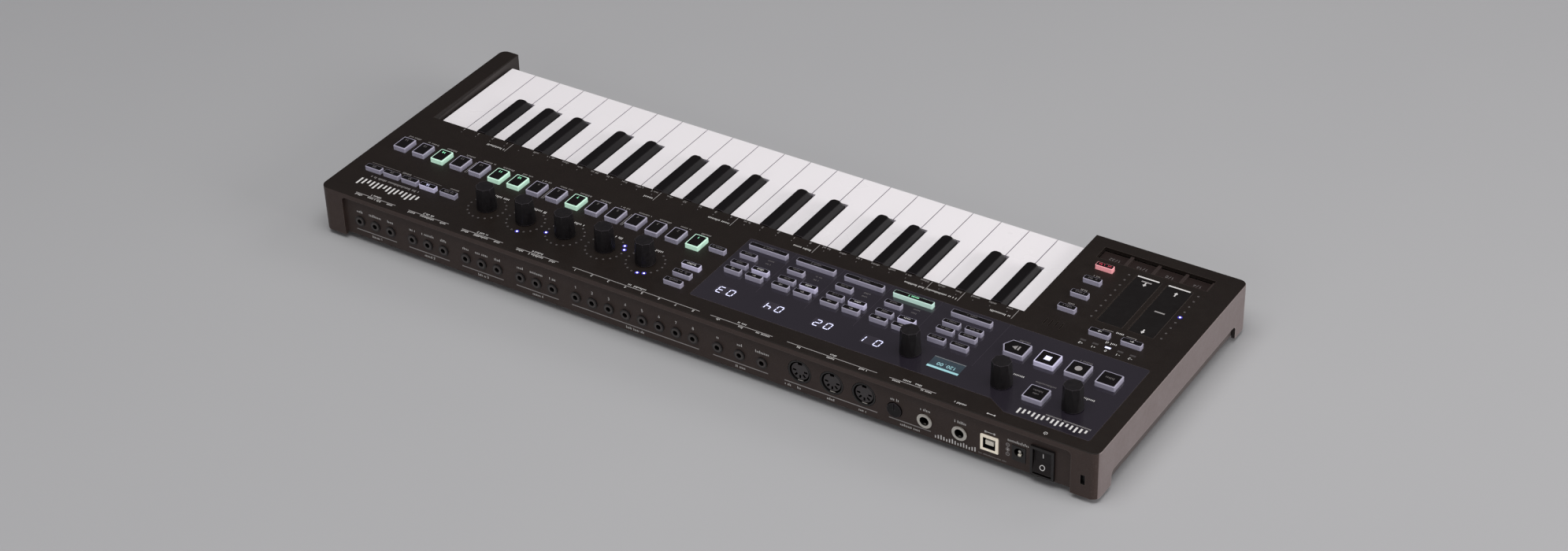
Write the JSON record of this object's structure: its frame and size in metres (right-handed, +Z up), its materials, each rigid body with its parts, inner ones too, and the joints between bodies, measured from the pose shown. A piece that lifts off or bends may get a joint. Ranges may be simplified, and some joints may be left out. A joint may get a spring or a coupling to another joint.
{
  "type": "keyboard synthesizer",
  "caption": "Slim keyboard synthesizer controller with small sprung keys, step buttons, encoder knobs, touch strips and a rear panel of patch sockets.",
  "frame": {"origin": "on the table under the middle of the case, in the plane of the feet's undersides", "axes": "+X to the player's right, +Y towards the rear panel, +Z up"},
  "size_m": [0.589, 0.207, 0.055],
  "materials": {
    "cover_metal": "fine-textured dark paint",
    "tray_metal": "satin dark paint",
    "smoked_window": "glossy smoked",
    "touch_film": "matt film",
    "foot_rubber": "matt",
    "screw_steel": "blackened",
    "board_laminate": "solder mask",
    "display_plastic": "glossy",
    "socket_plastic": "moulded",
    "keybed_plastic": "moulded",
    "button_plastic": "translucent",
    "knob_plastic": "soft touch",
    "rocker_plastic": "moulded",
    "white_key_plastic": "glossy",
    "black_key_plastic": "satin gloss"
  },
  "bodies": {
    "case": {"top_cover": "cover_metal", "control_window": "smoked_window", "bottom_tray": "tray_metal", "rubber_feet": "foot_rubber", "case_screws": "screw_steel", "touch_strips": "touch_film", "circuit_boards": "board_laminate", "display_modules": "display_plastic", "rear_sockets": "socket_plastic", "keybed_frame": "keybed_plastic"},
    "power_rocker": {"power_rocker": "rocker_plastic"},
    "step_buttons": {"step_buttons": "button_plastic"},
    "window_buttons": {"window_buttons": "button_plastic"},
    "panel_buttons": {"panel_buttons": "button_plastic"},
    "level_knob": {"level_knob": "knob_plastic"},
    "tempo_knob": {"tempo_knob": "knob_plastic"},
    "swing_knob": {"swing_knob": "knob_plastic"},
    "display_encoder_knob": {"display_encoder_knob": "knob_plastic"},
    "step_encoder_knob_1": {"step_encoder_knob_1": "knob_plastic"},
    "step_encoder_knob_2": {"step_encoder_knob_2": "knob_plastic"},
    "step_encoder_knob_3": {"step_encoder_knob_3": "knob_plastic"},
    "step_encoder_knob_4": {"step_encoder_knob_4": "knob_plastic"},
    "step_encoder_knob_5": {"step_encoder_knob_5": "knob_plastic"},
    "key_01_c": {"key_01_c": "white_key_plastic"},
    "key_02_c_sharp": {"key_02_c_sharp": "black_key_plastic"},
    "key_03_d": {"key_03_d": "white_key_plastic"},
    "key_04_d_sharp": {"key_04_d_sharp": "black_key_plastic"},
    "key_05_e": {"key_05_e": "white_key_plastic"},
    "key_06_f": {"key_06_f": "white_key_plastic"},
    "key_07_f_sharp": {"key_07_f_sharp": "black_key_plastic"},
    "key_08_g": {"key_08_g": "white_key_plastic"},
    "key_09_g_sharp": {"key_09_g_sharp": "black_key_plastic"},
    "key_10_a": {"key_10_a": "white_key_plastic"},
    "key_11_a_sharp": {"key_11_a_sharp": "black_key_plastic"},
    "key_12_b": {"key_12_b": "white_key_plastic"},
    "key_13_c": {"key_13_c": "white_key_plastic"},
    "key_14_c_sharp": {"key_14_c_sharp": "black_key_plastic"},
    "key_15_d": {"key_15_d": "white_key_plastic"},
    "key_16_d_sharp": {"key_16_d_sharp": "black_key_plastic"},
    "key_17_e": {"key_17_e": "white_key_plastic"},
    "key_18_f": {"key_18_f": "white_key_plastic"},
    "key_19_f_sharp": {"key_19_f_sharp": "black_key_plastic"},
    "key_20_g": {"key_20_g": "white_key_plastic"},
    "key_21_g_sharp": {"key_21_g_sharp": "black_key_plastic"},
    "key_22_a": {"key_22_a": "white_key_plastic"},
    "key_23_a_sharp": {"key_23_a_sharp": "black_key_plastic"},
    "key_24_b": {"key_24_b": "white_key_plastic"},
    "key_25_c": {"key_25_c": "white_key_plastic"},
    "key_26_c_sharp": {"key_26_c_sharp": "black_key_plastic"},
    "key_27_d": {"key_27_d": "white_key_plastic"},
    "key_28_d_sharp": {"key_28_d_sharp": "black_key_plastic"},
    "key_29_e": {"key_29_e": "white_key_plastic"},
    "key_30_f": {"key_30_f": "white_key_plastic"},
    "key_31_f_sharp": {"key_31_f_sharp": "black_key_plastic"},
    "key_32_g": {"key_32_g": "white_key_plastic"},
    "key_33_g_sharp": {"key_33_g_sharp": "black_key_plastic"},
    "key_34_a": {"key_34_a": "white_key_plastic"},
    "key_35_a_sharp": {"key_35_a_sharp": "black_key_plastic"},
    "key_36_b": {"key_36_b": "white_key_plastic"},
    "key_37_c": {"key_37_c": "white_key_plastic"}
  },
  "joints": [
    {"name": "power_rocker_tip", "type": "hinge", "parent": "case", "child": "power_rocker", "pos_m": [-0.2569, 0.0969, 0.0165], "axis": [1, 0, 0], "range_deg": [-14, 0]},
    {"name": "step_buttons_press", "type": "slide", "parent": "case", "child": "step_buttons", "axis": [0, 0, -1], "range_m": [0, 0.0012], "stiffness_N_per_m": 2500},
    {"name": "window_buttons_press", "type": "slide", "parent": "case", "child": "window_buttons", "axis": [0, 0, -1], "range_m": [0, 0.0012], "stiffness_N_per_m": 2500},
    {"name": "panel_buttons_press", "type": "slide", "parent": "case", "child": "panel_buttons", "axis": [0, 0, -1], "range_m": [0, 0.0012], "stiffness_N_per_m": 2500},
    {"name": "level_knob_turn", "type": "hinge", "parent": "case", "child": "level_knob", "pos_m": [-0.1541, 0.0979, 0.0169], "axis": [0, 1, 0], "range_deg": [-140, 140]},
    {"name": "tempo_knob_turn", "type": "hinge", "parent": "case", "child": "tempo_knob", "pos_m": [-0.2595, 0.0693, 0.04], "axis": [0, 0, 1], "continuous": true},
    {"name": "swing_knob_turn", "type": "hinge", "parent": "case", "child": "swing_knob", "pos_m": [-0.211, 0.0695, 0.04], "axis": [0, 0, 1], "continuous": true},
    {"name": "display_encoder_knob_turn", "type": "hinge", "parent": "case", "child": "display_encoder_knob", "pos_m": [-0.1467, 0.069, 0.04], "axis": [0, 0, 1], "continuous": true},
    {"name": "step_encoder_knob_1_turn", "type": "hinge", "parent": "case", "child": "step_encoder_knob_1", "pos_m": [0.051, 0.0695, 0.04], "axis": [0, 0, 1], "continuous": true},
    {"name": "step_encoder_knob_2_turn", "type": "hinge", "parent": "case", "child": "step_encoder_knob_2", "pos_m": [0.083, 0.0695, 0.04], "axis": [0, 0, 1], "continuous": true},
    {"name": "step_encoder_knob_3_turn", "type": "hinge", "parent": "case", "child": "step_encoder_knob_3", "pos_m": [0.115, 0.0695, 0.04], "axis": [0, 0, 1], "continuous": true},
    {"name": "step_encoder_knob_4_turn", "type": "hinge", "parent": "case", "child": "step_encoder_knob_4", "pos_m": [0.147, 0.0695, 0.04], "axis": [0, 0, 1], "continuous": true},
    {"name": "step_encoder_knob_5_turn", "type": "hinge", "parent": "case", "child": "step_encoder_knob_5", "pos_m": [0.179, 0.0695, 0.04], "axis": [0, 0, 1], "continuous": true},
    {"name": "key_01_c_press", "type": "hinge", "parent": "case", "child": "key_01_c", "pos_m": [0, 0.0035, 0.024], "axis": [1, 0, 0], "range_deg": [0, 3.5], "stiffness_Nm_per_rad": 0.7, "springref_deg": -2.86},
    {"name": "key_02_c_sharp_press", "type": "hinge", "parent": "case", "child": "key_02_c_sharp", "pos_m": [0, 0.0035, 0.024], "axis": [1, 0, 0], "range_deg": [0, 3.5], "stiffness_Nm_per_rad": 0.7, "springref_deg": -2.86},
    {"name": "key_03_d_press", "type": "hinge", "parent": "case", "child": "key_03_d", "pos_m": [0, 0.0035, 0.024], "axis": [1, 0, 0], "range_deg": [0, 3.5], "stiffness_Nm_per_rad": 0.7, "springref_deg": -2.86},
    {"name": "key_04_d_sharp_press", "type": "hinge", "parent": "case", "child": "key_04_d_sharp", "pos_m": [0, 0.0035, 0.024], "axis": [1, 0, 0], "range_deg": [0, 3.5], "stiffness_Nm_per_rad": 0.7, "springref_deg": -2.86},
    {"name": "key_05_e_press", "type": "hinge", "parent": "case", "child": "key_05_e", "pos_m": [0, 0.0035, 0.024], "axis": [1, 0, 0], "range_deg": [0, 3.5], "stiffness_Nm_per_rad": 0.7, "springref_deg": -2.86},
    {"name": "key_06_f_press", "type": "hinge", "parent": "case", "child": "key_06_f", "pos_m": [0, 0.0035, 0.024], "axis": [1, 0, 0], "range_deg": [0, 3.5], "stiffness_Nm_per_rad": 0.7, "springref_deg": -2.86},
    {"name": "key_07_f_sharp_press", "type": "hinge", "parent": "case", "child": "key_07_f_sharp", "pos_m": [0, 0.0035, 0.024], "axis": [1, 0, 0], "range_deg": [0, 3.5], "stiffness_Nm_per_rad": 0.7, "springref_deg": -2.86},
    {"name": "key_08_g_press", "type": "hinge", "parent": "case", "child": "key_08_g", "pos_m": [0, 0.0035, 0.024], "axis": [1, 0, 0], "range_deg": [0, 3.5], "stiffness_Nm_per_rad": 0.7, "springref_deg": -2.86},
    {"name": "key_09_g_sharp_press", "type": "hinge", "parent": "case", "child": "key_09_g_sharp", "pos_m": [0, 0.0035, 0.024], "axis": [1, 0, 0], "range_deg": [0, 3.5], "stiffness_Nm_per_rad": 0.7, "springref_deg": -2.86},
    {"name": "key_10_a_press", "type": "hinge", "parent": "case", "child": "key_10_a", "pos_m": [0, 0.0035, 0.024], "axis": [1, 0, 0], "range_deg": [0, 3.5], "stiffness_Nm_per_rad": 0.7, "springref_deg": -2.86},
    {"name": "key_11_a_sharp_press", "type": "hinge", "parent": "case", "child": "key_11_a_sharp", "pos_m": [0, 0.0035, 0.024], "axis": [1, 0, 0], "range_deg": [0, 3.5], "stiffness_Nm_per_rad": 0.7, "springref_deg": -2.86},
    {"name": "key_12_b_press", "type": "hinge", "parent": "case", "child": "key_12_b", "pos_m": [0, 0.0035, 0.024], "axis": [1, 0, 0], "range_deg": [0, 3.5], "stiffness_Nm_per_rad": 0.7, "springref_deg": -2.86},
    {"name": "key_13_c_press", "type": "hinge", "parent": "case", "child": "key_13_c", "pos_m": [0, 0.0035, 0.024], "axis": [1, 0, 0], "range_deg": [0, 3.5], "stiffness_Nm_per_rad": 0.7, "springref_deg": -2.86},
    {"name": "key_14_c_sharp_press", "type": "hinge", "parent": "case", "child": "key_14_c_sharp", "pos_m": [0, 0.0035, 0.024], "axis": [1, 0, 0], "range_deg": [0, 3.5], "stiffness_Nm_per_rad": 0.7, "springref_deg": -2.86},
    {"name": "key_15_d_press", "type": "hinge", "parent": "case", "child": "key_15_d", "pos_m": [0, 0.0035, 0.024], "axis": [1, 0, 0], "range_deg": [0, 3.5], "stiffness_Nm_per_rad": 0.7, "springref_deg": -2.86},
    {"name": "key_16_d_sharp_press", "type": "hinge", "parent": "case", "child": "key_16_d_sharp", "pos_m": [0, 0.0035, 0.024], "axis": [1, 0, 0], "range_deg": [0, 3.5], "stiffness_Nm_per_rad": 0.7, "springref_deg": -2.86},
    {"name": "key_17_e_press", "type": "hinge", "parent": "case", "child": "key_17_e", "pos_m": [0, 0.0035, 0.024], "axis": [1, 0, 0], "range_deg": [0, 3.5], "stiffness_Nm_per_rad": 0.7, "springref_deg": -2.86},
    {"name": "key_18_f_press", "type": "hinge", "parent": "case", "child": "key_18_f", "pos_m": [0, 0.0035, 0.024], "axis": [1, 0, 0], "range_deg": [0, 3.5], "stiffness_Nm_per_rad": 0.7, "springref_deg": -2.86},
    {"name": "key_19_f_sharp_press", "type": "hinge", "parent": "case", "child": "key_19_f_sharp", "pos_m": [0, 0.0035, 0.024], "axis": [1, 0, 0], "range_deg": [0, 3.5], "stiffness_Nm_per_rad": 0.7, "springref_deg": -2.86},
    {"name": "key_20_g_press", "type": "hinge", "parent": "case", "child": "key_20_g", "pos_m": [0, 0.0035, 0.024], "axis": [1, 0, 0], "range_deg": [0, 3.5], "stiffness_Nm_per_rad": 0.7, "springref_deg": -2.86},
    {"name": "key_21_g_sharp_press", "type": "hinge", "parent": "case", "child": "key_21_g_sharp", "pos_m": [0, 0.0035, 0.024], "axis": [1, 0, 0], "range_deg": [0, 3.5], "stiffness_Nm_per_rad": 0.7, "springref_deg": -2.86},
    {"name": "key_22_a_press", "type": "hinge", "parent": "case", "child": "key_22_a", "pos_m": [0, 0.0035, 0.024], "axis": [1, 0, 0], "range_deg": [0, 3.5], "stiffness_Nm_per_rad": 0.7, "springref_deg": -2.86},
    {"name": "key_23_a_sharp_press", "type": "hinge", "parent": "case", "child": "key_23_a_sharp", "pos_m": [0, 0.0035, 0.024], "axis": [1, 0, 0], "range_deg": [0, 3.5], "stiffness_Nm_per_rad": 0.7, "springref_deg": -2.86},
    {"name": "key_24_b_press", "type": "hinge", "parent": "case", "child": "key_24_b", "pos_m": [0, 0.0035, 0.024], "axis": [1, 0, 0], "range_deg": [0, 3.5], "stiffness_Nm_per_rad": 0.7, "springref_deg": -2.86},
    {"name": "key_25_c_press", "type": "hinge", "parent": "case", "child": "key_25_c", "pos_m": [0, 0.0035, 0.024], "axis": [1, 0, 0], "range_deg": [0, 3.5], "stiffness_Nm_per_rad": 0.7, "springref_deg": -2.86},
    {"name": "key_26_c_sharp_press", "type": "hinge", "parent": "case", "child": "key_26_c_sharp", "pos_m": [0, 0.0035, 0.024], "axis": [1, 0, 0], "range_deg": [0, 3.5], "stiffness_Nm_per_rad": 0.7, "springref_deg": -2.86},
    {"name": "key_27_d_press", "type": "hinge", "parent": "case", "child": "key_27_d", "pos_m": [0, 0.0035, 0.024], "axis": [1, 0, 0], "range_deg": [0, 3.5], "stiffness_Nm_per_rad": 0.7, "springref_deg": -2.86},
    {"name": "key_28_d_sharp_press", "type": "hinge", "parent": "case", "child": "key_28_d_sharp", "pos_m": [0, 0.0035, 0.024], "axis": [1, 0, 0], "range_deg": [0, 3.5], "stiffness_Nm_per_rad": 0.7, "springref_deg": -2.86},
    {"name": "key_29_e_press", "type": "hinge", "parent": "case", "child": "key_29_e", "pos_m": [0, 0.0035, 0.024], "axis": [1, 0, 0], "range_deg": [0, 3.5], "stiffness_Nm_per_rad": 0.7, "springref_deg": -2.86},
    {"name": "key_30_f_press", "type": "hinge", "parent": "case", "child": "key_30_f", "pos_m": [0, 0.0035, 0.024], "axis": [1, 0, 0], "range_deg": [0, 3.5], "stiffness_Nm_per_rad": 0.7, "springref_deg": -2.86},
    {"name": "key_31_f_sharp_press", "type": "hinge", "parent": "case", "child": "key_31_f_sharp", "pos_m": [0, 0.0035, 0.024], "axis": [1, 0, 0], "range_deg": [0, 3.5], "stiffness_Nm_per_rad": 0.7, "springref_deg": -2.86},
    {"name": "key_32_g_press", "type": "hinge", "parent": "case", "child": "key_32_g", "pos_m": [0, 0.0035, 0.024], "axis": [1, 0, 0], "range_deg": [0, 3.5], "stiffness_Nm_per_rad": 0.7, "springref_deg": -2.86},
    {"name": "key_33_g_sharp_press", "type": "hinge", "parent": "case", "child": "key_33_g_sharp", "pos_m": [0, 0.0035, 0.024], "axis": [1, 0, 0], "range_deg": [0, 3.5], "stiffness_Nm_per_rad": 0.7, "springref_deg": -2.86},
    {"name": "key_34_a_press", "type": "hinge", "parent": "case", "child": "key_34_a", "pos_m": [0, 0.0035, 0.024], "axis": [1, 0, 0], "range_deg": [0, 3.5], "stiffness_Nm_per_rad": 0.7, "springref_deg": -2.86},
    {"name": "key_35_a_sharp_press", "type": "hinge", "parent": "case", "child": "key_35_a_sharp", "pos_m": [0, 0.0035, 0.024], "axis": [1, 0, 0], "range_deg": [0, 3.5], "stiffness_Nm_per_rad": 0.7, "springref_deg": -2.86},
    {"name": "key_36_b_press", "type": "hinge", "parent": "case", "child": "key_36_b", "pos_m": [0, 0.0035, 0.024], "axis": [1, 0, 0], "range_deg": [0, 3.5], "stiffness_Nm_per_rad": 0.7, "springref_deg": -2.86},
    {"name": "key_37_c_press", "type": "hinge", "parent": "case", "child": "key_37_c", "pos_m": [0, 0.0035, 0.024], "axis": [1, 0, 0], "range_deg": [0, 3.5], "stiffness_Nm_per_rad": 0.7, "springref_deg": -2.86}
  ]
}
